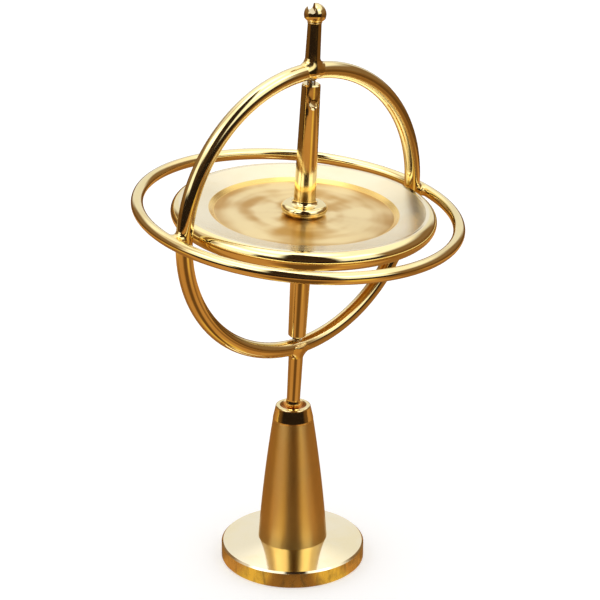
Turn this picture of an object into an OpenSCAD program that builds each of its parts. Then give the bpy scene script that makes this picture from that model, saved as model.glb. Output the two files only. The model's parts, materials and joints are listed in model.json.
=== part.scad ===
// Gyroscope on a turned stand.
// The stand is modelled upright on its own axis, with the origin at the centre of the base's underside.
// The gyroscope is modelled about its flywheel's centre, with its spindle along Z and its frame ring in
// the XZ plane, and gyro() then sets it down in the cup at the lean at which it precesses.

/* [Base] */
// Diameter of the base disc
base_d = 29.8; // [24:0.1:40]
// Height of the base disc at its edge
base_edge_h = 3.6; // [3:0.1:6]
// Rise of the domed top, from its edge to the foot of the pedestal
base_rise = 1.0; // [0.3:0.1:2]
// Width of the bright bevel round the top edge
base_bevel = 0.35; // [0.1:0.05:0.8]
// Diameter of the screw that clamps the base to the pedestal
screw_d = 4; // [3:0.5:5]
// Diameter of its countersunk head
screw_head_d = 7.2; // [6:0.1:9]
// Length of the screw, head included
screw_len = 12; // [10:0.5:16]

/* [Pedestal] */
// Height of the cup's rim above the table
stand_h = 34.2; // [28:0.1:60]
// Diameter of the pedestal at its foot
foot_d = 14.3; // [11:0.1:20]
// Diameter of the pedestal at its shoulder, under the cup
shoulder_d = 8.3; // [7.5:0.1:10.5]
// How far the pedestal's side bulges outside a straight cone
side_bulge = 0.27; // [0.1:0.01:0.6]

/* [Seat cup] */
// Height of the cup that shows above the pedestal
cup_h = 3.1; // [2.5:0.1:5]
// Outer diameter of the cup's rim
cup_rim_d = 7.2; // [6:0.1:9]
// Width of the rim, from the dish to its outside
cup_rim_w = 0.85; // [0.7:0.05:1.1]
// Depth of the dish
dish_depth = 1.4; // [1:0.05:1.6]
// Diameter of the stem that fits into the pedestal
cup_stem_d = 4; // [3:0.1:5]
// Length of that stem
cup_stem_len = 6; // [4:0.5:10]

/* [Rings] */
// Outer diameter of the upright frame ring
ring_d = 60.3; // [50:0.1:90]
// Wire diameter of the frame ring
ring_wire = 3.2; // [2.6:0.1:4]
// Wire diameter of the guard ring
guard_wire = 2.35; // [1.6:0.05:3.2]
// Gap between the two rings where they are brazed
guard_gap = 0.1; // [0.05:0.01:0.2]
// How far the guard ring's centre lies to one side of the frame ring's plane
guard_offset = 1.6; // [0:0.1:2]
// Tilt of the guard ring about the line through its two crossings, in degrees
guard_tilt_across = 2.4; // [-3:0.1:3]
// Tilt of the guard ring along that line, in degrees
guard_tilt_along = 1.2; // [-2:0.1:2]
// How far the side of each crossing's braze lies inside the guard ring's wire
braze_inset = 0.1; // [0.05:0.05:0.4]

/* [Posts] */
// Diameter of both posts at the frame ring
post_d = 3; // [2.4:0.05:3.1]
// Diameter of the foot post above its ball
foot_neck_d = 2.7; // [2.2:0.05:2.8]
// Radius of the flare from that neck out to the ball
foot_flare = 2; // [1:0.1:3]
// Diameter of the top post under its head
head_neck_d = 2.6; // [2.2:0.02:2.8]
// Height of the foot's ball centre below the frame ring
foot_post_h = 11.3; // [8:0.05:16]
// Diameter of the foot's ball
foot_ball_d = 3.2; // [3:0.1:4.4]
// Height of the head's ball centre above the frame ring
head_post_h = 9.2; // [7:0.05:14]
// Diameter of the head's ball
head_ball_d = 4.2; // [3.6:0.1:6]
// Depth below the ball's centre at which the ball turns into a cone
head_cone_drop = 0.75; // [0.3:0.05:1.1]
// Depth below the ball's centre of the neck under that cone
neck_drop = 1.35; // [1.25:0.05:2]
// Width of the string groove in the head
groove_w = 1.3; // [0.8:0.05:1.5]
// Height of the groove's floor above the centre of the head's ball
groove_floor = 0.5; // [0:0.05:1]
// How far the groove lies to one side of the head's centre
groove_offset = 0.85; // [0:0.05:0.9]
// Direction of the groove, in degrees round the spindle from the frame ring's plane
groove_azimuth = 59; // [0:1:180]
// Diameter of the stems that hold the posts in the frame ring
stem_d = 1.9; // [1.6:0.05:2]

/* [Flywheel] */
// Gap between the flywheel and the inside of the frame ring
wheel_gap = 1.1; // [0.6:0.1:3]
// Thickness of the flywheel's full-round rim
rim_t = 3.7; // [3:0.1:5]
// How far the rounding carries on inwards past the top of the rim, in degrees
rim_wrap = 12.5; // [0:0.5:25]
// Width of the sloping face, from the rounded rim to the recess
face_w = 5.1; // [2:0.1:6.2]
// Height of the recess's edge above the flywheel's middle
recess_edge = 0.8; // [0.6:0.05:1.2]
// Height of the web's upper side above the flywheel's middle
web_top = 0.15; // [-0.2:0.05:0.4]
// Thickness of the web
web_t = 1.4; // [1:0.1:1.6]
// Width of the bevelled step from the sloping face down to the web
step_w = 0.9; // [0.3:0.1:1.5]

/* [Spindle] */
// Diameter of the spindle in the flywheel
spindle_d = 4.3; // [3.4:0.05:5]
// Diameter of the spindle at its ends
spindle_end_d = 3.6; // [3.1:0.05:4]
// Gap between the spindle's ends and the frame ring
spindle_gap = 0.8; // [0.5:0.05:1.5]
// Diameter of the hub collars across their rounded edge
collar_d = 9.1; // [8.5:0.1:12]
// Diameter of each hub collar where it stands on the web
collar_foot_d = 6.6; // [5.8:0.1:7]
// Height of each hub collar
collar_h = 2.05; // [1.8:0.05:2.6]
// Radius of each hub collar's rounded edge
collar_round = 0.95; // [0.7:0.05:1]
// Radius of the fillet from a collar up to the spindle
collar_fillet = 0.9; // [0.5:0.05:1.2]
// Diameter of the pull-string hole
string_hole_d = 1.5; // [1:0.05:1.7]
// Distance of that hole below the spindle's upper end
string_hole_drop = 3.65; // [3.3:0.05:8]
// Direction of that hole, in degrees round the spindle from the frame ring's plane
string_hole_azimuth = -109; // [-180:1:180]
// Diameter of the pivot pins
pin_d = 1.6; // [1.2:0.05:1.7]
// Length of each pivot pin inside the spindle
pin_seat = 2.3; // [1.8:0.1:2.5]

/* [Pose] */
// Lean of the gyroscope from upright, in degrees
lean = 5; // [0:0.5:30]
// Direction of the lean, in degrees round the stand
lean_azimuth = -58; // [-180:1:180]
// Direction of the frame ring's plane, in degrees round the stand
ring_azimuth = 39.3; // [-180:0.1:180]

/* [Hidden] */

// Facets: turned pieces, the rings and wires, and the steps of the pedestal's bellied side
turn_fn = 96;
ring_fn = 288;
wire_fn = 48;
side_steps = 24;

// Clearances: a piece pressed or screwed into another, a turning fit, and a pivot's point
press_gap = 0.02;
turn_gap = 0.05;
point_gap = 0.15;
// A cut runs this far past the face that it opens
past = 1;

// Stand
base_land_z = base_edge_h + base_rise;
foot_r = foot_d / 2;
base_r = base_d / 2;
edge_chamfer = 0.3;
screw_r = screw_d / 2;
screw_head_r = screw_head_d / 2;
screw_head_sink = 0.4;
screw_slot_w = 0.9;
screw_slot_depth = 0.8;
// Room left at the bottom of a blind hole
hole_spare = 0.3;
shoulder_z = stand_h - cup_h;
shoulder_r = shoulder_d / 2;

// Cup
cup_rim_r = cup_rim_d / 2;
cup_stem_r = cup_stem_d / 2;
cup_band_h = 0.3;
rim_round = 0.35;
dish_mouth_r = cup_rim_r - cup_rim_w;
dish_r = (pow(dish_mouth_r, 2) + pow(dish_depth, 2)) / (2 * dish_depth);
foot_ball_r = foot_ball_d / 2;
ball_z = stand_h - dish_depth + turn_gap + foot_ball_r;

// Rings
ring_r = ring_d / 2;
wire_r = ring_wire / 2;
ring_mid_r = ring_r - wire_r;
ring_in_r = ring_r - ring_wire;
guard_wire_r = guard_wire / 2;
guard_mid_r = ring_r + guard_gap + guard_wire_r;
crossing_x = sqrt(pow(guard_mid_r, 2) - pow(guard_offset, 2));

// Posts
stem_r = stem_d / 2;
post_r = post_d / 2;
foot_neck_r = foot_neck_d / 2;
head_neck_r = head_neck_d / 2;
head_ball_r = head_ball_d / 2;
head_z = ring_r + head_post_h;
foot_z = -ring_r - foot_post_h;
neck_bead = 0.12;
// The braze round a post: its height on the wire and on the post, and its width at the bottom and top
post_braze_down = 0.95;
post_braze_up = 0.45;
post_braze_w = 0.4;
post_braze_top_w = 0.05;

// Pivots
cup_mouth_r = pin_d / 2 + turn_gap;
pivot_depth = 1.2;
pivot_cup_len = 1.75;
point_r = 0.08;

// Flywheel and spindle
rim_r = rim_t / 2;
rim_mid_r = ring_in_r - wheel_gap - rim_r;
face_r = rim_mid_r - rim_r * sin(rim_wrap);
face_z = rim_r * cos(rim_wrap);
recess_r = face_r - face_w;
web_bottom = web_top - web_t;
under_edge = -1.5;
spindle_r = spindle_d / 2;
spindle_end_r = spindle_end_d / 2;
spindle_z = ring_in_r - spindle_gap;
pin_r = pin_d / 2;
string_z = spindle_z - string_hole_drop;
string_r = string_hole_d / 2;
countersink = 0.3;

// Sets a piece of the gyroscope down in the cup, leaning as it precesses
module gyro() {
    translate([0, 0, ball_z])
        rotate([0, 0, lean_azimuth])
            rotate([0, lean, 0])
                rotate([0, 0, ring_azimuth - lean_azimuth])
                    translate([0, 0, -foot_z])
                        children();
}

// A wire ring round Z, whose seams lie clear of the posts and the crossings
module wire_ring(mid_r, r) {
    rotate([0, 0, 45])
        rotate_extrude($fn = ring_fn)
            translate([mid_r, 0])
                rotate(90)
                    circle(r = r, $fn = wire_fn);
}

// The frame ring's wire, made fatter by a gap, to cut the pieces that sit on it
module frame_wire(gap = 0) {
    rotate([90, 0, 0])
        wire_ring(ring_mid_r, wire_r + gap);
}

// The guard ring's wire in its place, made fatter by a gap
module guard_wire_at(gap = 0) {
    translate([0, guard_offset, 0])
        rotate([guard_tilt_across, guard_tilt_along, 0])
            wire_ring(guard_mid_r, guard_wire_r + gap);
}

// A turned piece from an outline in radius and height
module turned(outline) {
    rotate_extrude($fn = turn_fn)
        polygon(outline);
}

// Copies its child, and mirrors it to the lower side
module upper_and_lower() {
    children();
    mirror([0, 0, 1])
        children();
}

// ---- stand ----

module base_disc() {
    land_r = foot_r + turn_gap;
    color("goldenrod")
        difference() {
            turned([
                [0, 0], [base_r - edge_chamfer, 0], [base_r, edge_chamfer],
                [base_r, base_edge_h - base_bevel], [base_r - base_bevel, base_edge_h],
                [land_r, base_land_z], [0, base_land_z]
            ]);
            translate([0, 0, -past])
                cylinder(h = base_land_z + 2 * past, r = screw_r + turn_gap, $fn = turn_fn);
            translate([0, 0, screw_head_sink])
                countersunk_head(turn_gap);
            translate([0, 0, -past])
                cylinder(h = past + screw_head_sink, r = screw_head_r + turn_gap, $fn = turn_fn);
        }
}

// The cone of a countersunk head, from its flat face up to the shank
module countersunk_head(gap = 0) {
    cylinder(h = screw_head_r - screw_r, r1 = screw_head_r + gap, r2 = screw_r + gap, $fn = turn_fn);
}

module base_screw() {
    color("darkgoldenrod")
        translate([0, 0, screw_head_sink])
            difference() {
                union() {
                    countersunk_head();
                    cylinder(h = screw_len, r = screw_r, $fn = turn_fn);
                }
                translate([-screw_head_r - past, -screw_slot_w / 2, -past])
                    cube([2 * (screw_head_r + past), screw_slot_w, past + screw_slot_depth]);
            }
}

// Points from a up to b along an arc that stands out from the straight line by the bulge
function bellied_side(a, b, bulge) =
    let (
        chord = norm(b - a),
        along = (b - a) / chord,
        outward = [along[1], -along[0]],
        r = (pow(chord / 2, 2) + pow(bulge, 2)) / (2 * bulge),
        half = asin(chord / 2 / r),
        centre = (a + b) / 2 - (r - bulge) * outward
    )
    [for (i = [0:side_steps])
        let (t = half * (2 * i / side_steps - 1))
            centre + r * (cos(t) * outward + sin(t) * along)];

module pedestal_cone() {
    screw_hole_h = screw_head_sink + screw_len - base_land_z + hole_spare;
    stem_hole_h = cup_stem_len + hole_spare;
    color("peru")
        difference() {
            turned(concat(
                [[0, base_land_z]],
                bellied_side([foot_r, base_land_z], [shoulder_r, shoulder_z], side_bulge),
                [[0, shoulder_z]]
            ));
            translate([0, 0, base_land_z - past])
                cylinder(h = screw_hole_h + past, r = screw_r + press_gap, $fn = turn_fn);
            translate([0, 0, shoulder_z - stem_hole_h])
                cylinder(h = stem_hole_h + past, r = cup_stem_r + turn_gap, $fn = turn_fn);
        }
}

module seat_cup() {
    rim_z = stand_h - rim_round;
    color("gold")
        difference() {
            union() {
                rotate_extrude($fn = turn_fn) {
                    polygon([
                        [0, shoulder_z], [shoulder_r, shoulder_z], [shoulder_r, shoulder_z + cup_band_h],
                        [cup_rim_r, rim_z], [cup_rim_r - rim_round, stand_h], [0, stand_h]
                    ]);
                    translate([cup_rim_r - rim_round, rim_z])
                        circle(r = rim_round, $fn = wire_fn);
                }
                translate([0, 0, shoulder_z - cup_stem_len])
                    cylinder(h = cup_stem_len + past, r = cup_stem_r, $fn = turn_fn);
            }
            translate([0, 0, stand_h - dish_depth + dish_r])
                sphere(r = dish_r, $fn = turn_fn);
        }
}

// ---- frame ----

// The hole through the frame ring that takes a post's stem and a pivot cup
module stem_hole() {
    cylinder(h = ring_r + past, r = stem_r + press_gap, $fn = turn_fn);
}

module frame_ring() {
    color("gold")
        gyro()
            difference() {
                frame_wire();
                upper_and_lower()
                    stem_hole();
            }
}

module guard_ring() {
    color("gold")
        gyro()
            guard_wire_at();
}

// One braze, at the crossing on the side given by 1 or -1: a round pad with a saddle cut to each wire
module braze_at(side) {
    drop = side * crossing_x * sin(guard_tilt_along) + guard_offset * sin(guard_tilt_across);
    difference() {
        translate([side * ring_mid_r, 0, -drop])
            rotate([0, side * 90, 0])
                cylinder(h = crossing_x - ring_mid_r, r = guard_wire_r - braze_inset, $fn = turn_fn);
        frame_wire(press_gap);
        guard_wire_at(press_gap);
    }
}

module crossing_braze() {
    color("orange")
        gyro()
            for (side = [-1, 1])
                braze_at(side);
}

// A post on the upper side of the frame ring: the stem, the saddle cut to the wire, and the tapered shaft
module post(top_z, neck_r) {
    stem_z = ring_in_r + pivot_cup_len + press_gap;
    difference() {
        translate([0, 0, ring_mid_r])
            cylinder(h = top_z - ring_mid_r, r1 = post_r, r2 = neck_r, $fn = turn_fn);
        frame_wire(press_gap);
    }
    translate([0, 0, stem_z])
        cylinder(h = ring_r + wire_r - stem_z, r = stem_r, $fn = turn_fn);
}

module post_braze() {
    color("orange")
        gyro()
            upper_and_lower()
                difference() {
                    translate([0, 0, ring_r - post_braze_down])
                        cylinder(h = post_braze_down + post_braze_up, r1 = post_r + post_braze_w,
                                 r2 = post_r + post_braze_top_w, $fn = turn_fn);
                    frame_wire(press_gap);
                    cylinder(h = ring_r + past, r = post_r + press_gap, $fn = turn_fn);
                }
}

// The flare from the foot's neck out to its ball, which touches both, about the ball's centre
module foot_flare_ring() {
    from_centre = foot_flare + foot_ball_r;
    centre_x = foot_neck_r + foot_flare;
    centre_z = sqrt(pow(from_centre, 2) - pow(centre_x, 2));
    touch = foot_ball_r / from_centre;
    rotate_extrude($fn = turn_fn)
        difference() {
            polygon([
                [0, touch * centre_z], [touch * centre_x, touch * centre_z],
                [centre_x, centre_z], [0, centre_z]
            ]);
            translate([centre_x, centre_z])
                circle(r = foot_flare, $fn = turn_fn);
        }
}

module foot_post() {
    color("goldenrod")
        gyro()
            mirror([0, 0, 1]) {
                post(-foot_z, foot_neck_r);
                translate([0, 0, -foot_z]) {
                    sphere(r = foot_ball_r, $fn = turn_fn);
                    mirror([0, 0, 1])
                        foot_flare_ring();
                }
            }
}

// The head's outline in radius and height: ball, cone under it, neck and bead
module head_outline() {
    ball_cut_r = sqrt(pow(head_ball_r, 2) - pow(head_cone_drop, 2));
    intersection() {
        translate([0, head_z])
            circle(r = head_ball_r, $fn = turn_fn);
        translate([0, head_z - head_cone_drop])
            square([head_ball_r + past, head_ball_r + head_cone_drop + past]);
    }
    polygon([
        [0, head_z - head_cone_drop], [ball_cut_r, head_z - head_cone_drop],
        [head_neck_r, head_z - neck_drop], [0, head_z - neck_drop]
    ]);
    translate([head_neck_r, head_z - neck_drop - neck_bead])
        circle(r = neck_bead, $fn = wire_fn);
}

// The string groove: a slot with a round floor, across the head and to one side of its centre
module string_groove() {
    floor_r = groove_w / 2;
    reach = head_ball_r + past;
    rotate([0, 0, groove_azimuth])
        translate([-reach, groove_offset, head_z + groove_floor + floor_r]) {
            rotate([0, 90, 0])
                cylinder(h = 2 * reach, r = floor_r, $fn = turn_fn);
            translate([0, -floor_r, 0])
                cube([2 * reach, groove_w, reach]);
        }
}

module top_post() {
    color("darkgoldenrod")
        gyro()
            difference() {
                union() {
                    post(head_z - neck_drop, head_neck_r);
                    rotate_extrude($fn = turn_fn)
                        head_outline();
                }
                string_groove();
            }
}

// The bearing on the upper side: a short plug in the frame ring with a conical cup
module pivot_cup() {
    difference() {
        translate([0, 0, ring_in_r])
            cylinder(h = pivot_cup_len, r = stem_r, $fn = turn_fn);
        translate([0, 0, ring_in_r])
            cylinder(h = pivot_depth, r1 = cup_mouth_r, r2 = point_r + turn_gap, $fn = turn_fn);
    }
}

module upper_pivot_cup() {
    color("silver")
        gyro()
            pivot_cup();
}

module lower_pivot_cup() {
    color("silver")
        gyro()
            mirror([0, 0, 1])
                pivot_cup();
}

// ---- rotor ----

module flywheel_outline() {
    bore_r = spindle_r + press_gap;
    polygon([
        [bore_r, web_bottom], [recess_r - step_w, web_bottom], [recess_r, under_edge],
        [face_r, -face_z], [rim_mid_r, 0], [face_r, face_z],
        [recess_r, recess_edge], [recess_r - step_w, web_top], [bore_r, web_top]
    ]);
    translate([rim_mid_r, 0])
        circle(r = rim_r, $fn = turn_fn);
}

module flywheel() {
    color("khaki")
        gyro()
            rotate_extrude($fn = turn_fn)
                flywheel_outline();
}

// The spindle: straight through the hub, tapered to both ends, bored for the pins and the pull-string
module spindle() {
    hub_z = collar_h + collar_fillet - web_bottom;
    end_chamfer = 0.25;
    bore_z = spindle_z - pin_seat - turn_gap;
    color("gold")
        gyro()
            difference() {
                turned([
                    [0, -spindle_z], [spindle_end_r - end_chamfer, -spindle_z],
                    [spindle_end_r, -spindle_z + end_chamfer], [spindle_r, -hub_z],
                    [spindle_r, hub_z], [spindle_end_r, spindle_z - end_chamfer],
                    [spindle_end_r - end_chamfer, spindle_z], [0, spindle_z]
                ]);
                upper_and_lower()
                    translate([0, 0, bore_z])
                        cylinder(h = spindle_z - bore_z + past, r = pin_r + press_gap, $fn = turn_fn);
                string_hole();
            }
}

// The pull-string hole, opened out at both mouths
module string_hole() {
    mouth_x = spindle_end_r + (spindle_r - spindle_end_r) * string_hole_drop / spindle_z;
    rotate([0, 0, string_hole_azimuth])
        translate([0, 0, string_z])
            rotate([0, 90, 0]) {
                cylinder(h = 2 * (spindle_r + past), r = string_r, center = true, $fn = turn_fn);
                upper_and_lower()
                    translate([0, 0, mouth_x - countersink])
                        cylinder(h = 2 * countersink, r1 = string_r, r2 = string_r + 2 * countersink,
                                 $fn = turn_fn);
            }
}

// A hub collar that stands on a web face at the height z: a short neck, a rounded bead and a fillet
// up to the spindle
module hub_collar(z) {
    bore_r = spindle_r + press_gap;
    top_z = z + collar_h;
    edge = [collar_d / 2 - collar_round, top_z - collar_round];
    rotate_extrude($fn = turn_fn) {
        polygon([[bore_r, z], [collar_foot_d / 2, z], edge, [edge[0], top_z], [bore_r, top_z]]);
        translate(edge)
            circle(r = collar_round, $fn = turn_fn);
        difference() {
            translate([bore_r, top_z])
                square([collar_fillet, collar_fillet]);
            translate([bore_r + collar_fillet, top_z + collar_fillet])
                circle(r = collar_fillet, $fn = turn_fn);
        }
    }
}

module upper_hub_collar() {
    color("gold")
        gyro()
            hub_collar(web_top);
}

module lower_hub_collar() {
    color("gold")
        gyro()
            mirror([0, 0, 1])
                hub_collar(-web_bottom);
}

// The pin on the upper side: pressed into the spindle, with a point that turns in the pivot cup
module pivot_pin() {
    cone_z = spindle_z + spindle_gap / 2;
    tip_z = ring_in_r + pivot_depth - point_gap;
    translate([0, 0, spindle_z - pin_seat])
        cylinder(h = cone_z - spindle_z + pin_seat, r = pin_r, $fn = turn_fn);
    translate([0, 0, cone_z])
        cylinder(h = tip_z - cone_z, r1 = pin_r, r2 = point_r, $fn = turn_fn);
}

module upper_pivot_pin() {
    color("silver")
        gyro()
            pivot_pin();
}

module lower_pivot_pin() {
    color("silver")
        gyro()
            mirror([0, 0, 1])
                pivot_pin();
}

base_disc();
base_screw();
pedestal_cone();
seat_cup();
foot_post();
frame_ring();
guard_ring();
crossing_braze();
post_braze();
top_post();
upper_pivot_cup();
lower_pivot_cup();
flywheel();
spindle();
upper_hub_collar();
lower_hub_collar();
upper_pivot_pin();
lower_pivot_pin();
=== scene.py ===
"""Finishes a brass gyroscope on its turned stand and sets it in a plain studio."""
import json
from math import cos, hypot, radians, sin

import bmesh
import bpy
from mathutils import Matrix, Vector


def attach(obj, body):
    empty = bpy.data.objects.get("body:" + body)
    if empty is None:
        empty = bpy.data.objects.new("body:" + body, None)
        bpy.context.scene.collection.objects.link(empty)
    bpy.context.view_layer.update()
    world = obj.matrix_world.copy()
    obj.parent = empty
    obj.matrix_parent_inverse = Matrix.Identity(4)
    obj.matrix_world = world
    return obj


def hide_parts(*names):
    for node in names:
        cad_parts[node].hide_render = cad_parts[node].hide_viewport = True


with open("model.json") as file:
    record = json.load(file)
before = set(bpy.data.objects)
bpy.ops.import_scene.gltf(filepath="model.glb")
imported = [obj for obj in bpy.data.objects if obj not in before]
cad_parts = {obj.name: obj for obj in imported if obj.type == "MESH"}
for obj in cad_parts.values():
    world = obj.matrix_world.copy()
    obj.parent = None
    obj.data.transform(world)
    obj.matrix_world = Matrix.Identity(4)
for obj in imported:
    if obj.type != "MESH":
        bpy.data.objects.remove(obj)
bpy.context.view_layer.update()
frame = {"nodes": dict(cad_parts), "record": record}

bl_info = {
    "name": "Gyroscope on stand",
    "version": (1, 0, 0),
    "blender": (4, 5, 0),
    "location": "3D View > Sidebar > Gyroscope",
    "description": "Finishes a brass gyroscope on its turned stand and lights it",
    "category": "Object",
}

SPIN = next(joint for joint in frame["record"]["behaviour"]["joints"] if joint["name"] == "wheel_spin")
WHEEL_CENTRE = Vector(SPIN["pos_m"])
WHEEL_AXIS = Vector(SPIN["axis"]).normalized()
UP = Vector((0, 0, 1))
MM = 0.001


# ---- settings ----

def colour(name, description, default):
    """A colour setting."""
    return bpy.props.FloatVectorProperty(
        name=name, description=description, subtype="COLOR", size=3, min=0, max=1, default=default)


def share(name, description, default):
    """A setting from 0 to 1."""
    return bpy.props.FloatProperty(
        name=name, description=description, subtype="FACTOR", min=0, max=1, default=default)


class GyroscopeFinish(bpy.types.PropertyGroup):
    """Colours and polish of the metal."""
    brass: colour("Brass", "Polished rings, posts and spindle", (0.91, 0.76, 0.40))
    dull_brass: colour("Dull brass", "Where polished brass has been handled", (0.82, 0.60, 0.26))
    # The flywheel's colour is paler than the brass: partly the faces' own tone, partly a painted highlight in
    # pale cream.
    wheel: colour("Flywheel", "The flywheel's and the base's polished faces", (0.93, 0.83, 0.60))
    web: colour("Web", "The flywheel's turned web", (0.93, 0.74, 0.38))
    # The web's darker patches are painted reflections of the rings and the spindle, blurred.
    smeared_reflection: colour("Smears", "The darker smears on the web", (0.58, 0.31, 0.05))
    # The step's deeper gold is a painted reflection of the brass round it.
    step: colour("Step", "The step from the flywheel's face down to the web", (0.92, 0.64, 0.21))
    # The dish's red-brown is a painted reflection of the ball foot.
    dish: colour("Dish", "The worn dish in which the ball foot turns", (0.62, 0.26, 0.06))
    satin: colour("Satin brass", "The turned pedestal", (0.84, 0.60, 0.21))
    cast: colour("Cast brass", "The side of the base disc", (0.92, 0.74, 0.34))
    braze: colour("Braze", "The metal in the brazed joints", (0.90, 0.70, 0.30))
    steel: colour("Steel", "Pivots and the screw", (0.60, 0.59, 0.57))
    polish: share("Polish", "Roughness of the polished brass", 0.07)
    face_grain: share("Face grain", "Roughness of the flywheel's flat face", 0.23)
    web_grain: share("Web grain", "Roughness of the flywheel's turned web", 0.32)
    satin_grain: share("Satin grain", "Roughness of the pedestal", 0.33)


class GyroscopeStudio(bpy.types.PropertyGroup):
    """The camera, the floor and the light."""
    position: bpy.props.FloatVectorProperty(
        name="Camera", description="Where the camera stands", subtype="TRANSLATION", unit="LENGTH",
        default=(0, -0.31306, 0.16863))
    aim: bpy.props.FloatVectorProperty(
        name="Aim", description="The point that the camera looks at", subtype="TRANSLATION", unit="LENGTH",
        default=(0.00127, 0, 0.0568))
    roll: bpy.props.FloatProperty(
        name="Roll", description="Turn of the camera about its view", subtype="ANGLE", unit="ROTATION",
        default=radians(0.35))
    lens: bpy.props.FloatProperty(
        name="Lens", description="Focal length of the camera", subtype="DISTANCE_CAMERA",
        default=99.9, min=10)
    floor_radius: bpy.props.FloatProperty(
        name="Floor", description="Radius of the round floor", subtype="DISTANCE", unit="LENGTH",
        default=2.5, min=0.2)
    floor: colour("Floor", "Colour of the floor", (0.8, 0.8, 0.8))
    # The card glows on its own and only mirroring metal sees it: its lit parts, streaks and darker parts are
    # painted light and painted shade, which the softboxes don't give.
    card: colour("Card", "The warm card round the stand that the metal mirrors", (0.34, 0.16, 0.045))
    lit_card: colour("Lit card", "That card where the softboxes light it", (0.56, 0.28, 0.085))
    streak: colour("Streak", "Golden streaks across the card, one to each side", (0.85, 0.55, 0.12))
    dark: colour("Dark", "The unlit room beyond the card", (0.02, 0.012, 0.008))


# ---- node trees ----

def put(tree, kind, inputs=None, **settings):
    """Adds a node. An input that is given a socket is linked to it, and any other is set."""
    node = tree.nodes.new(kind)
    for name, value in settings.items():
        setattr(node, name, value)
    for name, value in (inputs or {}).items():
        if isinstance(value, bpy.types.NodeSocket):
            tree.links.new(value, node.inputs[name])
        else:
            node.inputs[name].default_value = value
    return node


def sum_of(tree, operation, a, b=0.0):
    """One step of arithmetic on two values."""
    return put(tree, "ShaderNodeMath", {0: a, 1: b}, operation=operation).outputs[0]


def vector_step(tree, operation, output, **inputs):
    """One step of arithmetic on the vectors a and b, or on the vector a and a scale."""
    sockets = {{"a": 0, "b": 1, "scale": "Scale"}[name]: value for name, value in inputs.items()}
    return put(tree, "ShaderNodeVectorMath", sockets, operation=operation).outputs[output]


def ramp(tree, value, low, high, start=0.0, end=1.0):
    """A smooth change from start to end, as the value goes from low to high."""
    return put(tree, "ShaderNodeMapRange", {
        "Value": value, "From Min": low, "From Max": high, "To Min": start, "To Max": end,
    }, interpolation_type="SMOOTHSTEP").outputs["Result"]


def band(tree, value, low, high, soft):
    """1 between low and high, and 0 outside, with soft edges."""
    rise = ramp(tree, value, low - soft, low + soft)
    fall = ramp(tree, value, high - soft, high + soft, 1, 0)
    return sum_of(tree, "MULTIPLY", rise, fall)


def opaque(tone):
    """A colour setting as a node colour. A socket stays as it is."""
    return tone if isinstance(tone, bpy.types.NodeSocket) else (*tone, 1)


def darker(tone, part):
    """A colour setting, darkened to this part of itself."""
    return tuple(value * part for value in tone)


def blend_colour(tree, factor, a, b):
    """Colour a where the factor is 0, and colour b where it is 1."""
    return put(tree, "ShaderNodeMix", {0: factor, 6: opaque(a), 7: opaque(b)}, data_type="RGBA").outputs[2]


def new_group(name, inputs, outputs):
    """A shader node group with these sockets, each a name, a kind and a default."""
    group = bpy.data.node_groups.new(name, "ShaderNodeTree")
    for in_out, sockets in (("INPUT", inputs), ("OUTPUT", outputs)):
        for socket_name, kind, default in sockets:
            socket = group.interface.new_socket(
                name=socket_name, in_out=in_out, socket_type="NodeSocket" + kind)
            socket.default_value = default
    return group, put(group, "NodeGroupInput").outputs, put(group, "NodeGroupOutput").inputs


def from_group(tree, name, **inputs):
    """Places a node group and returns its outputs. Socket names are given with _ for a space."""
    sockets = {socket_name.replace("_", " "): value for socket_name, value in inputs.items()}
    return put(tree, "ShaderNodeGroup", sockets, node_tree=bpy.data.node_groups[name]).outputs


def make_turned_coordinates():
    """Radius and height of a point on a turned piece, in millimetres, and its angle round the axis."""
    group, given, result = new_group(
        "Turned coordinates",
        [("Point", "Vector", (0, 0, 0)), ("Centre", "Vector", (0, 0, 0)), ("Axis", "Vector", (0, 0, 1))],
        [("Radius", "Float", 0), ("Height", "Float", 0), ("Around", "Float", 0)])
    offset = vector_step(group, "SUBTRACT", "Vector", a=given["Point"], b=given["Centre"])
    height = vector_step(group, "DOT_PRODUCT", "Value", a=offset, b=given["Axis"])
    along = vector_step(group, "SCALE", "Vector", a=given["Axis"], scale=height)
    outward = vector_step(group, "SUBTRACT", "Vector", a=offset, b=along)
    radius = vector_step(group, "LENGTH", "Value", a=outward)
    parts = put(group, "ShaderNodeSeparateXYZ", {"Vector": outward}).outputs
    group.links.new(sum_of(group, "MULTIPLY", radius, 1 / MM), result["Radius"])
    group.links.new(sum_of(group, "MULTIPLY", height, 1 / MM), result["Height"])
    group.links.new(sum_of(group, "ARCTAN2", parts["Y"], parts["X"]), result["Around"])


def make_turning_marks():
    """The fine grooves that a lathe tool leaves, as a height from 0 to 1."""
    group, given, result = new_group(
        "Turning marks",
        [("Distance", "Float", 0), ("Spacing", "Float", 0.1)],
        [("Height", "Float", 0)])
    place = sum_of(group, "DIVIDE", given["Distance"], given["Spacing"])
    noise = put(group, "ShaderNodeTexNoise", {"W": place, "Scale": 1, "Detail": 3, "Roughness": 0.6},
                noise_dimensions="1D")
    group.links.new(noise.outputs["Fac"], result["Height"])


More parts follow.
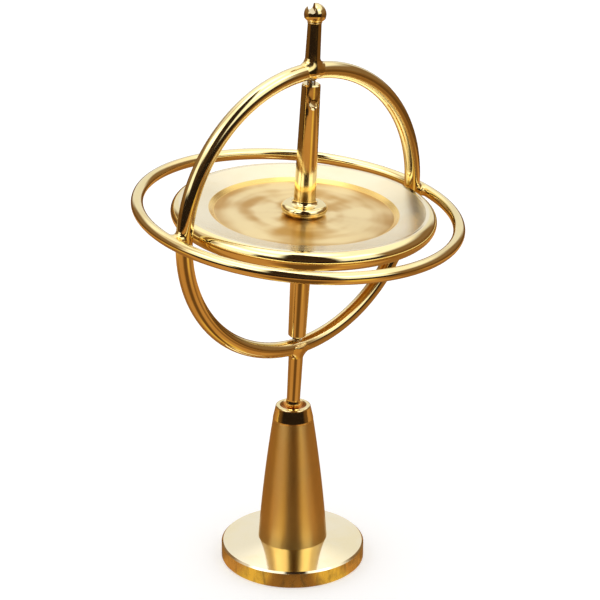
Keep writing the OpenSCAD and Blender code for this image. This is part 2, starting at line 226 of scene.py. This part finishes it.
def make_handling_haze():
    """Soft cloudy patches where polished metal has been handled, from 0 to 1."""
    group, given, result = new_group(
        "Handling haze",
        [("Point", "Vector", (0, 0, 0)), ("Size", "Float", 6), ("Amount", "Float", 0.5)],
        [("Haze", "Float", 0), ("Fine haze", "Float", 0)])
    scale = sum_of(group, "DIVIDE", 1 / MM, given["Size"])
    cloud = put(group, "ShaderNodeTexNoise", {
        "Vector": given["Point"], "Scale": scale, "Detail": 4, "Roughness": 0.55, "Distortion": 0.6})
    patches = ramp(group, cloud.outputs["Fac"], 0.40, 0.72)
    fine_scale = sum_of(group, "MULTIPLY", scale, 9)
    fine = put(group, "ShaderNodeTexNoise", {"Vector": given["Point"], "Scale": fine_scale, "Detail": 2})
    group.links.new(sum_of(group, "MULTIPLY", patches, given["Amount"]), result["Haze"])
    group.links.new(sum_of(group, "MULTIPLY", fine.outputs["Fac"], given["Amount"]), result["Fine haze"])


def make_brass_tone():
    """Brass that turns from its polished colour to its dull one with the haze."""
    group, given, result = new_group(
        "Brass tone",
        [("Polished", "Color", (0.88, 0.59, 0.16, 1)), ("Dull", "Color", (0.74, 0.42, 0.11, 1)),
         ("Haze", "Float", 0)],
        [("Colour", "Color", (0.88, 0.59, 0.16, 1))])
    group.links.new(blend_colour(group, given["Haze"], given["Polished"], given["Dull"]), result["Colour"])


def make_groups():
    """Builds the node groups that the materials share, once."""
    if "Turned coordinates" not in bpy.data.node_groups:
        make_turned_coordinates()
        make_turning_marks()
        make_handling_haze()
        make_brass_tone()


# ---- materials ----

# Where each finish gives way to the next on the turned pieces, from and to, in millimetres. All are
# radii, apart from the height of the dish's floor and the height at which the base's cast side ends.
DISH_RIM, DISH_FLOOR = (2.45, 2.75), (32.0, 32.2)
WEB_EDGE, STEP_RING = (17.6, 18.4), (17.5, 18.55)
FACE_EDGE, FACE_CREASE, RIM_EDGE = (23.6, 23.9), (23.7, 23.95), (24.0, 24.6)
# Darker rings on the web, which deepen its painted reflection
DARKER_RINGS = ((9.5, 11.5, 1.6), (16.6, 18.2, 0.9))  # each with the softness of its edges
CAST_TOP, CAST_EDGE = (3.2, 3.3), (14.6, 14.8)


def new_metal(name, **sockets):
    """A metal material, its shader and its object coordinates. Sockets are given with _ for a space."""
    make_groups()
    material = bpy.data.materials.new(name)
    material.use_nodes = True
    tree = material.node_tree
    shader = tree.nodes["Principled BSDF"]
    shader.inputs["Metallic"].default_value = 1
    for socket_name, value in sockets.items():
        shader.inputs[socket_name.replace("_", " ")].default_value = value
    point = put(tree, "ShaderNodeTexCoord").outputs["Object"]
    return material, tree, shader, point


def feed(tree, shader, tone, roughness, height, depth, strength):
    """Joins a colour, a roughness and a bump height to the shader. The depth is in millimetres."""
    tree.links.new(tone, shader.inputs["Base Color"])
    tree.links.new(roughness, shader.inputs["Roughness"])
    bump = put(tree, "ShaderNodeBump", {"Height": height, "Strength": strength, "Distance": depth * MM})
    tree.links.new(bump.outputs["Normal"], shader.inputs["Normal"])


def brass_tone(tree, polished, dull, haze):
    """The colour between these two, nearer to the dull one where there is more haze."""
    return from_group(tree, "Brass tone", Polished=opaque(polished), Dull=opaque(dull), Haze=haze)["Colour"]


def polished_brass(finish):
    """Mirror-polished brass with a little handling."""
    material, tree, shader, point = new_metal("Polished brass")
    haze = from_group(tree, "Handling haze", Point=point, Size=7, Amount=0.45)
    tone = brass_tone(tree, finish.brass, finish.dull_brass, haze["Haze"])
    roughness = ramp(tree, haze["Haze"], 0, 0.45, finish.polish, finish.polish + 0.05)
    feed(tree, shader, tone, roughness, haze["Fine haze"], depth=0.012, strength=0.12)
    return material


def cup_brass(finish):
    """The seat cup: polished outside, and brown in the dish, where the brown is a painted reflection."""
    material, tree, shader, point = new_metal("Cup brass")
    turned = from_group(tree, "Turned coordinates", Point=point, Centre=(0, 0, 0), Axis=UP)
    haze = from_group(tree, "Handling haze", Point=point, Size=2.5, Amount=0.5)
    in_dish = sum_of(tree, "MULTIPLY", ramp(tree, turned["Radius"], *DISH_RIM, 1, 0),
                     ramp(tree, turned["Height"], *DISH_FLOOR))
    # The dish's red-brown, darker where there is haze, is a painted reflection
    reflected = brass_tone(tree, finish.dish, finish.smeared_reflection, haze["Haze"])
    bright = brass_tone(tree, finish.brass, finish.dull_brass, haze["Haze"])
    tone = blend_colour(tree, in_dish, bright, reflected)
    roughness = ramp(tree, in_dish, 0, 1, finish.polish, 0.22)
    feed(tree, shader, tone, roughness, haze["Fine haze"], depth=0.01, strength=0.2)
    return material


def smears(tree, turned, around, outwards):
    """Soft patches of painted reflection on the web: short ones where these two are large, and long ones
    where they are small.
    """
    place = put(tree, "ShaderNodeCombineXYZ", {
        0: sum_of(tree, "MULTIPLY", sum_of(tree, "COSINE", turned["Around"]), around),
        1: sum_of(tree, "MULTIPLY", sum_of(tree, "SINE", turned["Around"]), around),
        2: sum_of(tree, "MULTIPLY", turned["Radius"], outwards)}).outputs[0]
    return put(tree, "ShaderNodeTexNoise", {"Vector": place, "Scale": 1.9, "Detail": 1.5}).outputs["Fac"]


def wheel_brass(finish):
    """The flywheel: polished outside, and on the web turned, so that reflections stretch outwards. The web
    also carries painted reflections, as darker patches and rings.
    """
    material, tree, shader, point = new_metal("Flywheel brass", Anisotropic=0.7)
    turned = from_group(tree, "Turned coordinates", Point=point, Centre=WHEEL_CENTRE, Axis=WHEEL_AXIS)
    haze = from_group(tree, "Handling haze", Point=point, Size=9, Amount=0.35)
    on_web = ramp(tree, turned["Radius"], *WEB_EDGE, 1, 0)
    marks = from_group(tree, "Turning marks", Distance=turned["Radius"], Spacing=0.09)
    # Painted reflections on the web: patches that run outwards over it, arcs that run round it, and darker
    # rings
    fan = smears(tree, turned, 1.0, 0.03)
    arcs = smears(tree, turned, 0.42, 0.12)
    smeared_reflection = sum_of(tree, "ADD", sum_of(tree, "MULTIPLY", fan, 0.4), sum_of(tree, "MULTIPLY", arcs, 0.6))
    darker_rings = sum_of(tree, "ADD", *(band(tree, turned["Radius"], *ring) for ring in DARKER_RINGS))
    shade = sum_of(tree, "SUBTRACT", smeared_reflection, sum_of(tree, "MULTIPLY", darker_rings, 0.05))
    web = blend_colour(tree, ramp(tree, shade, 0.37, 0.60), finish.smeared_reflection, finish.web)
    # The flat face takes the flywheel's pale colour, which is partly a painted highlight
    metal = blend_colour(tree, on_web, finish.wheel, web)
    # The step's deeper gold is a painted reflection of the brass round it
    metal = blend_colour(tree, band(tree, turned["Radius"], *STEP_RING, 0.12), metal, finish.step)
    metal = blend_colour(tree, ramp(tree, turned["Radius"], *RIM_EDGE), metal, finish.brass)
    tone = brass_tone(tree, metal, finish.dull_brass, sum_of(tree, "MULTIPLY", haze["Haze"], 0.5))
    # Each part's grain is what it adds to the roughness of the part outside it
    face_part = ramp(tree, turned["Radius"], *FACE_EDGE, finish.face_grain - finish.polish, 0)
    web_part = sum_of(tree, "MULTIPLY", on_web, finish.web_grain - finish.face_grain)
    grain = sum_of(tree, "ADD", face_part, web_part)
    roughness = sum_of(tree, "ADD", sum_of(tree, "ADD", grain, finish.polish),
                       sum_of(tree, "MULTIPLY", haze["Haze"], 0.06))
    # The web's grooves, and the crease where the flat face meets the rim
    grooves = sum_of(tree, "MULTIPLY", marks["Height"], ramp(tree, on_web, 0, 1, 0.12, 1))
    crease = band(tree, turned["Radius"], *FACE_CREASE, 0.12)
    height = sum_of(tree, "SUBTRACT", grooves, sum_of(tree, "MULTIPLY", crease, 14))
    feed(tree, shader, tone, roughness, height, depth=0.01, strength=0.16)
    # The shader wants the grain's direction as it lies in the world, also when the wheel has turned
    outward = put(tree, "ShaderNodeVectorTransform", {
        "Vector": vector_step(tree, "SUBTRACT", "Vector", a=point, b=WHEEL_CENTRE),
    }, vector_type="VECTOR", convert_from="OBJECT", convert_to="WORLD").outputs[0]
    tree.links.new(outward, shader.inputs["Tangent"])
    return material


def satin_brass(finish):
    """The pedestal: satin brass with fine lines round it from the lathe."""
    material, tree, shader, point = new_metal("Satin brass", Anisotropic=0.8, Anisotropic_Rotation=0.25)
    turned = from_group(tree, "Turned coordinates", Point=point, Centre=(0, 0, 0), Axis=UP)
    haze = from_group(tree, "Handling haze", Point=point, Size=9, Amount=0.3)
    marks = from_group(tree, "Turning marks", Distance=turned["Height"], Spacing=0.07)
    tone = brass_tone(tree, finish.satin, darker(finish.satin, 0.72), haze["Haze"])
    roughness = ramp(tree, haze["Haze"], 0, 0.5, finish.satin_grain, finish.satin_grain + 0.08)
    feed(tree, shader, tone, roughness, marks["Height"], depth=0.02, strength=0.25)
    tangent = put(tree, "ShaderNodeTangent", {}, direction_type="RADIAL", axis="Z")
    tree.links.new(tangent.outputs[0], shader.inputs["Tangent"])
    return material


def base_brass(finish):
    """The base disc: a polished top and bevel over a side left as it was cast."""
    material, tree, shader, point = new_metal("Base brass")
    turned = from_group(tree, "Turned coordinates", Point=point, Centre=(0, 0, 0), Axis=UP)
    haze = from_group(tree, "Handling haze", Point=point, Size=8, Amount=0.35)
    stretched = vector_step(tree, "MULTIPLY", "Vector", a=point, b=(1, 1, 0.35))
    cast = from_group(tree, "Handling haze", Point=stretched, Size=1.6, Amount=1.0)
    low = ramp(tree, turned["Height"], *CAST_TOP, 1, 0)
    outer = ramp(tree, turned["Radius"], *CAST_EDGE)
    on_side = sum_of(tree, "MULTIPLY", low, outer)
    # The polished top takes the flywheel's pale colour, which is partly a painted highlight
    top_tone = brass_tone(tree, finish.wheel, finish.brass, haze["Haze"])
    side_tone = brass_tone(tree, finish.cast, darker(finish.cast, 0.55), cast["Haze"])
    tone = blend_colour(tree, on_side, top_tone, side_tone)
    side_roughness = ramp(tree, cast["Haze"], 0, 1, 0.24, 0.42)
    roughness = sum_of(tree, "ADD", ramp(tree, on_side, 0, 1, finish.polish, 0),
                       sum_of(tree, "MULTIPLY", on_side, side_roughness))
    marks = from_group(tree, "Turning marks", Distance=turned["Radius"], Spacing=0.09)
    polished_height = sum_of(tree, "MULTIPLY", marks["Height"], 0.1)
    height = put(tree, "ShaderNodeMix", {
        0: on_side, 2: polished_height, 3: cast["Fine haze"]}, data_type="FLOAT").outputs[0]
    feed(tree, shader, tone, roughness, height, depth=0.05, strength=0.3)
    return material


def braze_brass(finish):
    """Braze metal: bright, with the slight waviness of metal that has flowed."""
    material, tree, shader, point = new_metal("Braze")
    haze = from_group(tree, "Handling haze", Point=point, Size=1.8, Amount=0.8)
    tone = brass_tone(tree, finish.braze, finish.dull_brass, haze["Haze"])
    roughness = ramp(tree, haze["Haze"], 0, 0.8, 0.08, 0.2)
    feed(tree, shader, tone, roughness, haze["Haze"], depth=0.04, strength=0.3)
    return material


def turned_steel(finish, name, centre, axis):
    """Turned steel with fine grooves round the given axis."""
    material, tree, shader, point = new_metal(name)
    turned = from_group(tree, "Turned coordinates", Point=point, Centre=centre, Axis=axis)
    haze = from_group(tree, "Handling haze", Point=point, Size=1.5, Amount=0.6)
    across = sum_of(tree, "ADD", turned["Radius"], turned["Height"])
    marks = from_group(tree, "Turning marks", Distance=across, Spacing=0.05)
    tone = brass_tone(tree, finish.steel, darker(finish.steel, 0.7), haze["Haze"])
    roughness = ramp(tree, haze["Haze"], 0, 0.6, 0.18, 0.3)
    feed(tree, shader, tone, roughness, marks["Height"], depth=0.01, strength=0.2)
    return material


def made(name, maker, *facts):
    """The material with this name, made the first time that it is wanted."""
    return bpy.data.materials.get(name) or maker(*facts)


def cover(material, *names):
    """Gives these CAD nodes one material over their whole surface."""
    for name in names:
        piece = frame["nodes"][name]
        if not piece.material_slots:
            raise RuntimeError(name + " has no material slot")
        for slot in piece.material_slots:
            slot.material = material


# ---- braze ----

# The gyroscope's own frame: its origin at the wheel's centre, X in the frame ring's plane and Z up the
# spindle. The distances below are in millimetres in that frame.
RING_FRAME = (Matrix.Translation(WHEEL_CENTRE) @ Matrix.Rotation(radians(-58), 4, "Z")
              @ Matrix.Rotation(radians(5), 4, "Y") @ Matrix.Rotation(radians(97.3), 4, "Z"))
GUARD_TURN = Matrix.Rotation(radians(1.2), 3, "Y") @ Matrix.Rotation(radians(2.4), 3, "X")
FRAME_MID_R, FRAME_WIRE_R = 28.55, 1.6
GUARD_MID_R, GUARD_WIRE_R, GUARD_OFFSET = 31.425, 1.175, 1.6
POST_R, POST_TAPER = 1.5, 0.015

# The two brazes of each kind: where they start from, how wide they flow and how far they reach
CROSSINGS, CROSSING_WIDTH, CROSSING_REACH = ((30.18, 0, -0.72), (-30.18, 0, 0.59)), 2.0, 3.6
POST_FEET, POST_BRAZE_WIDTH, POST_BRAZE_REACH = ((0, 0, 30.2), (0, 0, -30.2)), 1.8, 3.2

# How deep the braze's skin sinks into the metal, and the steps and halvings that find it
BRAZE_SUNK, BRAZE_STEP, BRAZE_HALVINGS = 0.09, 0.3, 8


def off_frame_wire(x, y, z):
    """Distance of a point from the frame ring's surface."""
    return hypot(hypot(x, z) - FRAME_MID_R, y) - FRAME_WIRE_R


def off_guard_wire(x, y, z):
    """Distance of a point from the guard ring's surface."""
    local = Vector((x, y - GUARD_OFFSET, z)) @ GUARD_TURN
    return hypot(hypot(local.x, local.y) - GUARD_MID_R, local.z) - GUARD_WIRE_R


def off_post(x, y, z):
    """Distance of a point from either post's surface, near the frame ring."""
    up = abs(z) - FRAME_MID_R
    return max(hypot(x, y) - POST_R + POST_TAPER * up, -up)


def off_braze(one, other, width, point):
    """Distance of a point from two bodies and the braze that has flowed between them."""
    a, b = one(*point), other(*point)
    overlap = max(width - abs(a - b), 0) / width
    return min(a, b) - overlap * overlap * width / 4


def add_braze(work, one, other, centre, width, reach):
    """Adds one joint's braze: a closed skin that sinks just under both bodies where it ends."""
    skin = bmesh.ops.create_icosphere(work, subdivisions=5, radius=1)["verts"]
    for corner in skin:
        way = corner.co.copy()
        near, far = 0.0, 0.0
        while far < reach and off_braze(one, other, width, centre + way * far) < -BRAZE_SUNK:
            near, far = far, far + BRAZE_STEP
        far = min(far, reach)
        for _ in range(BRAZE_HALVINGS):
            middle = (near + far) / 2
            if off_braze(one, other, width, centre + way * middle) < -BRAZE_SUNK:
                near = middle
            else:
                far = middle
        corner.co = RING_FRAME @ ((centre + way * near) * MM)


def braze_piece(name, node, other, centres, width, reach, material):
    """Makes the braze of two like joints as one piece, which stands for its CAD node."""
    work = bmesh.new()
    for centre in centres:
        add_braze(work, off_frame_wire, other, Vector(centre), width, reach)
    mesh = bpy.data.meshes.new(name)
    work.to_mesh(mesh)
    work.free()
    mesh.shade_smooth()
    mesh.materials.append(material)
    piece = bpy.data.objects.new(name, mesh)
    bpy.context.scene.collection.objects.link(piece)
    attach(piece, "frame")
    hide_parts(node)


# ---- pieces ----

class GYROSCOPE_OT_rings(bpy.types.Operator):
    """Finishes the frame ring and the guard ring"""
    bl_idname = "gyroscope.rings"
    bl_label = "Rings"

    def execute(self, context):
        cover(made("Polished brass", polished_brass, context.scene.gyroscope_finish),
              "frame_ring", "guard_ring")
        return {"FINISHED"}


class GYROSCOPE_OT_braze(bpy.types.Operator):
    """Makes the braze at the rings' crossings and round the posts, as metal that has flowed"""
    bl_idname = "gyroscope.braze"
    bl_label = "Braze"

    def execute(self, context):
        material = made("Braze", braze_brass, context.scene.gyroscope_finish)
        braze_piece("crossing_fillets", "crossing_braze", off_guard_wire,
                    CROSSINGS, CROSSING_WIDTH, CROSSING_REACH, material)
        braze_piece("post_fillets", "post_braze", off_post,
                    POST_FEET, POST_BRAZE_WIDTH, POST_BRAZE_REACH, material)
        return {"FINISHED"}


class GYROSCOPE_OT_posts(bpy.types.Operator):
    """Finishes the foot post with its ball and the top post with its grooved head"""
    bl_idname = "gyroscope.posts"
    bl_label = "Posts"

    def execute(self, context):
        cover(made("Polished brass", polished_brass, context.scene.gyroscope_finish), "foot_post", "top_post")
        return {"FINISHED"}


class GYROSCOPE_OT_flywheel(bpy.types.Operator):
    """Finishes the flywheel"""
    bl_idname = "gyroscope.flywheel"
    bl_label = "Flywheel"

    def execute(self, context):
        cover(made("Flywheel brass", wheel_brass, context.scene.gyroscope_finish), "flywheel")
        return {"FINISHED"}


class GYROSCOPE_OT_spindle(bpy.types.Operator):
    """Finishes the spindle and its two hub collars"""
    bl_idname = "gyroscope.spindle"
    bl_label = "Spindle and collars"

    def execute(self, context):
        cover(made("Polished brass", polished_brass, context.scene.gyroscope_finish),
              "spindle", "upper_hub_collar", "lower_hub_collar")
        return {"FINISHED"}


class GYROSCOPE_OT_pivots(bpy.types.Operator):
    """Finishes the pivot cups and pins at both ends of the spindle"""
    bl_idname = "gyroscope.pivots"
    bl_label = "Pivots"

    def execute(self, context):
        steel = made("Pivot steel", turned_steel, context.scene.gyroscope_finish, "Pivot steel",
                     WHEEL_CENTRE, WHEEL_AXIS)
        cover(steel, "upper_pivot_cup", "lower_pivot_cup", "upper_pivot_pin", "lower_pivot_pin")
        return {"FINISHED"}


class GYROSCOPE_OT_stand(bpy.types.Operator):
    """Finishes the base disc, its screw, the pedestal and the seat cup"""
    bl_idname = "gyroscope.stand"
    bl_label = "Stand"

    def execute(self, context):
        finish = context.scene.gyroscope_finish
        cover(made("Base brass", base_brass, finish), "base_disc")
        cover(made("Satin brass", satin_brass, finish), "pedestal_cone")
        cover(made("Cup brass", cup_brass, finish), "seat_cup")
        cover(made("Screw steel", turned_steel, finish, "Screw steel", (0, 0, 0), UP), "base_screw")
        return {"FINISHED"}


# ---- stage ----

CAMERA_LIFT = 0.32  # light that only the camera sees, which takes the floor's paint up to white
CARD_EDGE = (0.286, 0.306)  # where the warm card ends and the room beyond it begins, in metres


def azimuth_of(tree, parts):
    """The azimuth of a direction in degrees: 0 on the photographer's side, 90 to its right."""
    front = sum_of(tree, "MULTIPLY", parts["Y"], -1)
    return sum_of(tree, "DEGREES", sum_of(tree, "ARCTAN2", parts["X"], front))


def make_floor(studio):
    """A plain round floor."""
    mesh = bpy.data.meshes.new("floor")
    work = bmesh.new()
    bmesh.ops.create_circle(work, cap_ends=True, cap_tris=False, segments=128, radius=studio.floor_radius)
    work.to_mesh(mesh)
    work.free()
    floor = bpy.data.objects.new("floor", mesh)
    bpy.context.scene.collection.objects.link(floor)
    mesh.materials.append(floor_paint(studio))


def floor_paint(studio):
    """Pale paint that keeps shadows. Mirroring metal sees a warm card under the stand instead, which glows on
    its own, with painted light and painted shade on it.
    """
    material = bpy.data.materials.new("Floor paint")
    material.use_nodes = True
    tree = material.node_tree
    tree.nodes.clear()
    ray = put(tree, "ShaderNodeLightPath").outputs
    point = put(tree, "ShaderNodeTexCoord").outputs["Object"]
    paper = put(tree, "ShaderNodeTexNoise", {"Vector": point, "Scale": 900, "Detail": 2})
    tint = ramp(tree, paper.outputs["Fac"], 0.3, 0.7, 0.99, 1)
    paint_colour = vector_step(tree, "SCALE", "Vector", a=tuple(studio.floor), scale=tint)
    matt = put(tree, "ShaderNodeBsdfDiffuse", {"Color": paint_colour}).outputs[0]
    lift = put(tree, "ShaderNodeEmission", {
        "Color": (1, 1, 1, 1),
        "Strength": sum_of(tree, "MULTIPLY", ray["Is Camera Ray"], CAMERA_LIFT)}).outputs[0]
    plain = put(tree, "ShaderNodeAddShader", {0: matt, 1: lift}).outputs[0]
    away = vector_step(tree, "LENGTH", "Value", a=point)
    azimuth = azimuth_of(tree, put(tree, "ShaderNodeSeparateXYZ", {"Vector": point}).outputs)
    side = sum_of(tree, "ABSOLUTE", azimuth)
    # Painted light and painted shade on the card: lit sides and far ring, a painted shadow on the
    # photographer's side, bright lobes close to the stand, a darker band to the right, golden streaks, and a
    # dimmer card beyond at the sides
    lit = sum_of(tree, "MAXIMUM", band(tree, side, 27, 80, 6), ramp(tree, away, 0.12, 0.20))
    unlit = sum_of(tree, "MULTIPLY", ramp(tree, side, 12, 24, 1, 0), band(tree, away, 0.019, 0.15, 0.01))
    close = sum_of(tree, "MULTIPLY", band(tree, side, 24, 52, 7), ramp(tree, away, 0.03, 0.05, 1, 0))
    shade = sum_of(tree, "MULTIPLY", band(tree, azimuth, 56, 86, 7), ramp(tree, away, 0.09, 0.13))
    right_streak = sum_of(tree, "MULTIPLY", band(tree, azimuth, 31, 49, 5), ramp(tree, away, 0.09, 0.13))
    left_streak = sum_of(tree, "MULTIPLY", band(tree, azimuth, -100, -74, 7), ramp(tree, away, 0.16, 0.22))
    card_tone = blend_colour(tree, lit, studio.card, studio.lit_card)
    card_tone = blend_colour(tree, close, card_tone, studio.streak)
    card_tone = blend_colour(tree, unlit, card_tone, darker(studio.card, 0.45))
    card_tone = blend_colour(tree, shade, card_tone, darker(studio.card, 0.8))
    streaks = sum_of(tree, "MAXIMUM", right_streak, left_streak)
    card_tone = blend_colour(tree, streaks, card_tone, studio.streak)
    beyond = blend_colour(tree, ramp(tree, side, 58, 78), studio.dark, darker(studio.card, 0.42))
    card_tone = blend_colour(tree, ramp(tree, away, *CARD_EDGE), card_tone, beyond)
    card = put(tree, "ShaderNodeEmission", {"Color": card_tone, "Strength": 1}).outputs[0]
    whole = put(tree, "ShaderNodeMixShader", {0: ray["Is Glossy Ray"], 1: plain, 2: card}).outputs[0]
    put(tree, "ShaderNodeOutputMaterial", {"Surface": whole})
    return material


# What polished metal mirrors in the studio: each patch is its name, its azimuth range and elevation range
# in degrees, the softness of its edges, and its colour. A later patch lies over the ones before it.
STUDIO_PATCHES = (
    ("roof of the tent", -200, 200, 38, 95, 6, (1.25, 1.25, 1.25)),
    ("left wall", -125, -70, -10, 66, 8, (0.80, 0.72, 0.64)),
    ("left softbox", -85, -13, 8, 80, 3, (1.3, 1.3, 1.25)),
    ("right softbox", 28, 85, 8, 80, 3, (1.3, 1.3, 1.25)),
    ("left lamp", -78, -22, 38, 54, 5, (2.6, 2.6, 2.6)),
    ("right lamp", 38, 76, 38, 54, 5, (2.6, 2.6, 2.6)),
    ("lamp overhead", -200, 200, 72, 95, 5, (2.4, 2.4, 2.4)),
    ("left wall's foot", -148, -78, -10, 34, 7, (0.26, 0.16, 0.08)),
    ("right wall's foot", 68, 148, -10, 34, 7, (0.26, 0.16, 0.08)),
    ("gap between the softboxes", -17, 32, -10, 86, 5, (0.03, 0.016, 0.009)),
    ("gap's wider foot", -40, 28, -10, 30, 5, (0.05, 0.026, 0.012)),
    ("room under the tent", -200, 200, -95, 7, 3, (0.22, 0.11, 0.035)),
    ("dark band under the softboxes", -72, 72, -95, 10, 4, (0.02, 0.012, 0.008)),
)


def light_tent():
    """The world: white to the camera, and to mirroring metal a white tent with dark gaps."""
    world = bpy.data.worlds.new("Studio")
    bpy.context.scene.world = world
    world.use_nodes = True
    tree = world.node_tree
    tree.nodes.clear()
    ray = put(tree, "ShaderNodeLightPath").outputs
    direction = put(tree, "ShaderNodeTexCoord").outputs["Generated"]
    way = put(tree, "ShaderNodeSeparateXYZ", {"Vector": direction}).outputs
    azimuth = azimuth_of(tree, way)
    elevation = sum_of(tree, "DEGREES", sum_of(tree, "ARCSINE", way["Z"]))
    tent = (0.9, 0.9, 0.9)
    for _, left, right, low, high, soft, tone in STUDIO_PATCHES:
        inside = sum_of(tree, "MULTIPLY", band(tree, azimuth, left, right, soft),
                        band(tree, elevation, low, high, soft))
        tent = blend_colour(tree, inside, tent, tone)
    plain = blend_colour(tree, ray["Is Glossy Ray"], (1, 1, 1), tent)
    put(tree, "ShaderNodeOutputWorld", {
        "Surface": put(tree, "ShaderNodeBackground", {"Color": plain, "Strength": 1}).outputs[0]})


def stand_camera(studio):
    """A camera where the photographer stood."""
    position = Vector(studio.position)
    back = (position - Vector(studio.aim)).normalized()
    right = UP.cross(back).normalized()
    up = back.cross(right)
    turned_right = right * cos(studio.roll) + up * sin(studio.roll)
    turned_up = up * cos(studio.roll) - right * sin(studio.roll)
    camera = bpy.data.objects.new("camera", bpy.data.cameras.new("camera"))
    camera.data.lens = studio.lens
    camera.data.sensor_width = 36
    facing = Matrix((turned_right, turned_up, back)).transposed().to_4x4()
    camera.matrix_world = Matrix.Translation(position) @ facing
    bpy.context.scene.collection.objects.link(camera)
    bpy.context.scene.camera = camera


class GYROSCOPE_OT_stage(bpy.types.Operator):
    """Sets out the floor, the light and the camera"""
    bl_idname = "gyroscope.stage"
    bl_label = "Stage"

    def execute(self, context):
        studio = context.scene.gyroscope_studio
        make_floor(studio)
        light_tent()
        stand_camera(studio)
        context.scene.view_settings.view_transform = "Standard"
        return {"FINISHED"}


# ---- panel ----

OPERATORS = (
    GYROSCOPE_OT_stage, GYROSCOPE_OT_rings, GYROSCOPE_OT_braze, GYROSCOPE_OT_posts,
    GYROSCOPE_OT_flywheel, GYROSCOPE_OT_spindle, GYROSCOPE_OT_pivots, GYROSCOPE_OT_stand,
)


class GYROSCOPE_PT_panel(bpy.types.Panel):
    """Lists the gyroscope's steps and settings"""
    bl_idname = "GYROSCOPE_PT_panel"
    bl_label = "Gyroscope on stand"
    bl_space_type = "VIEW_3D"
    bl_region_type = "UI"
    bl_category = "Gyroscope"

    def draw(self, context):
        for operator in OPERATORS:
            self.layout.operator(operator.bl_idname)
        for settings in (context.scene.gyroscope_finish, context.scene.gyroscope_studio):
            box = self.layout.box()
            for name in settings.__annotations__:
                box.prop(settings, name)


CLASSES = (GyroscopeFinish, GyroscopeStudio, *OPERATORS, GYROSCOPE_PT_panel)


def register():
    """Registers the classes and puts their settings on the scene."""
    for part in CLASSES:
        bpy.utils.register_class(part)
    bpy.types.Scene.gyroscope_finish = bpy.props.PointerProperty(type=GyroscopeFinish)
    bpy.types.Scene.gyroscope_studio = bpy.props.PointerProperty(type=GyroscopeStudio)


def unregister():
    """Takes the settings and the classes away again."""
    del bpy.types.Scene.gyroscope_studio
    del bpy.types.Scene.gyroscope_finish
    for part in reversed(CLASSES):
        bpy.utils.unregister_class(part)


def main():
    """Builds the whole scene."""
    register()
    bpy.ops.gyroscope.stage()
    bpy.ops.gyroscope.rings()
    bpy.ops.gyroscope.braze()
    bpy.ops.gyroscope.posts()
    bpy.ops.gyroscope.flywheel()
    bpy.ops.gyroscope.spindle()
    bpy.ops.gyroscope.pivots()
    bpy.ops.gyroscope.stand()


if __name__ == "__main__":
    main()
